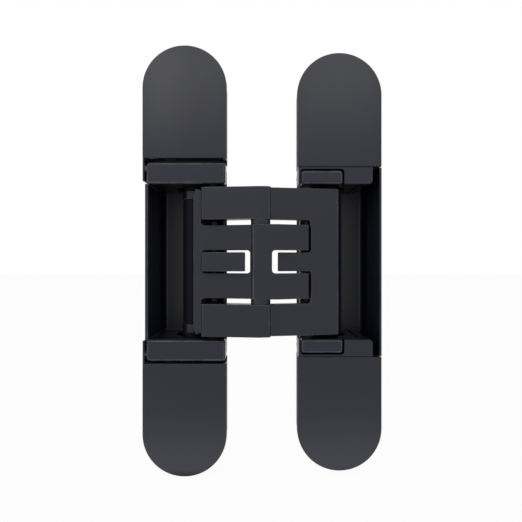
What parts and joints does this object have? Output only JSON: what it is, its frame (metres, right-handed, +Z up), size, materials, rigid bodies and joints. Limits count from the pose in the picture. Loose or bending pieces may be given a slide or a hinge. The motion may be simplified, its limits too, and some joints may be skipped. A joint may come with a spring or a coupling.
{
  "type": "concealed door hinge",
  "caption": "Invisible hinge with two mortised bodies joined by interleaved folding arms on a centre pin, with adjustable height and side setting and push-on screw covers.",
  "frame": {"origin": "centre of the outer pair of screw holes of the frame-side body, on the rear of its seat plates", "axes": "+Z up along the centre pin, +Y into the pockets, +X from the frame side to the door side with the hinge open"},
  "size_m": [0.0852, 0.0376, 0.1536],
  "materials": {
    "body": "satin",
    "cover": "satin",
    "block": "satin",
    "arm": "satin",
    "pin": "blackened",
    "washer": "blackened",
    "bearing": "matte",
    "fastener": "black zinc plated"
  },
  "bodies": {
    "frame_fixing": {"frame_bracket_top": "body", "frame_bracket_bottom": "body", "height_clamp_screw_top": "fastener", "height_clamp_screw_bottom": "fastener", "height_clamp_washer_top": "fastener", "height_clamp_washer_bottom": "fastener"},
    "height_cam": {"height_cam": "fastener"},
    "frame_cover_top": {"frame_cover_top": "cover"},
    "frame_cover_bottom": {"frame_cover_bottom": "cover"},
    "frame_housing": {"frame_housing": "body", "frame_pivot_pin": "pin", "frame_pivot_spacer_top": "bearing", "frame_pivot_spacer_bottom": "bearing"},
    "frame_arm": {"frame_arm": "arm", "centre_pin": "pin", "door_slider_pin": "pin", "door_slider_tube": "bearing", "door_slider_spacer_top": "bearing", "door_slider_spacer_bottom": "bearing", "door_slider_sleeve_top": "bearing", "door_slider_sleeve_bottom": "bearing"},
    "door_arm": {"door_arm": "arm", "centre_washer_top": "washer", "centre_washer_bottom": "washer", "frame_slider_pin": "pin", "frame_slider_tube": "bearing", "frame_slider_spacer_top": "bearing", "frame_slider_spacer_bottom": "bearing", "frame_slider_sleeve_top": "bearing", "frame_slider_sleeve_bottom": "bearing"},
    "door_carrier": {"door_carrier": "body", "door_block_top": "block", "door_block_bottom": "block", "door_pivot_pin": "pin", "door_pivot_spacer_top": "bearing", "door_pivot_spacer_bottom": "bearing"},
    "door_case": {"door_case": "body", "side_clamp_screw_top": "fastener", "side_clamp_screw_bottom": "fastener", "side_clamp_washer_top": "fastener", "side_clamp_washer_bottom": "fastener"},
    "side_cam": {"side_cam": "fastener"},
    "door_cover_top": {"door_cover_top": "cover"},
    "door_cover_bottom": {"door_cover_bottom": "cover"}
  },
  "joints": [
    {"name": "height", "type": "slide", "parent": "frame_fixing", "child": "frame_housing", "axis": [0, 0, 1], "range_m": [-0.00075, 0.00135]},
    {"name": "height_cam_turn", "type": "hinge", "parent": "frame_fixing", "child": "height_cam", "pos_m": [0.0061, 0, -0.0406], "axis": [0, -1, 0], "range_deg": [-32.3, 58]},
    {"name": "fold", "type": "hinge", "parent": "frame_housing", "child": "frame_arm", "pos_m": [0.0096, 0.002, -0.0003], "axis": [0, 0, 1], "range_deg": [-102.68, 0]},
    {"name": "centre_turn", "type": "hinge", "parent": "frame_arm", "child": "door_arm", "pos_m": [0.0271, -0.012, -0.0003], "axis": [0, 0, 1], "range_deg": [0, 25.4]},
    {"name": "door_turn", "type": "hinge", "parent": "door_arm", "child": "door_carrier", "pos_m": [0.0446, 0.002, -0.0003], "axis": [0, 0, 1], "range_deg": [-102.7, 0]},
    {"name": "side", "type": "slide", "parent": "door_carrier", "child": "door_case", "axis": [1, 0, 0], "range_m": [-0.002, 0.0005]},
    {"name": "side_cam_turn", "type": "hinge", "parent": "door_case", "child": "side_cam", "pos_m": [0.0601, 0, -0.0398], "axis": [0, 1, 0], "range_deg": [-18.1, 72.1]},
    {"name": "frame_cover_top_pull", "type": "slide", "parent": "frame_fixing", "child": "frame_cover_top", "axis": [0, -1, 0], "range_m": [0, 0.008]},
    {"name": "frame_cover_bottom_pull", "type": "slide", "parent": "frame_fixing", "child": "frame_cover_bottom", "axis": [0, -1, 0], "range_m": [0, 0.008]},
    {"name": "door_cover_top_pull", "type": "slide", "parent": "door_case", "child": "door_cover_top", "axis": [0, -1, 0], "range_m": [0, 0.008]},
    {"name": "door_cover_bottom_pull", "type": "slide", "parent": "door_case", "child": "door_cover_bottom", "axis": [0, -1, 0], "range_m": [0, 0.008]}
  ],
  "couplings": [
    {"joint": "height_cam_turn", "follows": "height", "rad_per_m": 748},
    {"joint": "centre_turn", "follows": "fold", "ratio": -0.24699},
    {"joint": "door_turn", "follows": "fold", "ratio": 1},
    {"joint": "side_cam_turn", "follows": "side", "rad_per_m": -628.32}
  ]
}
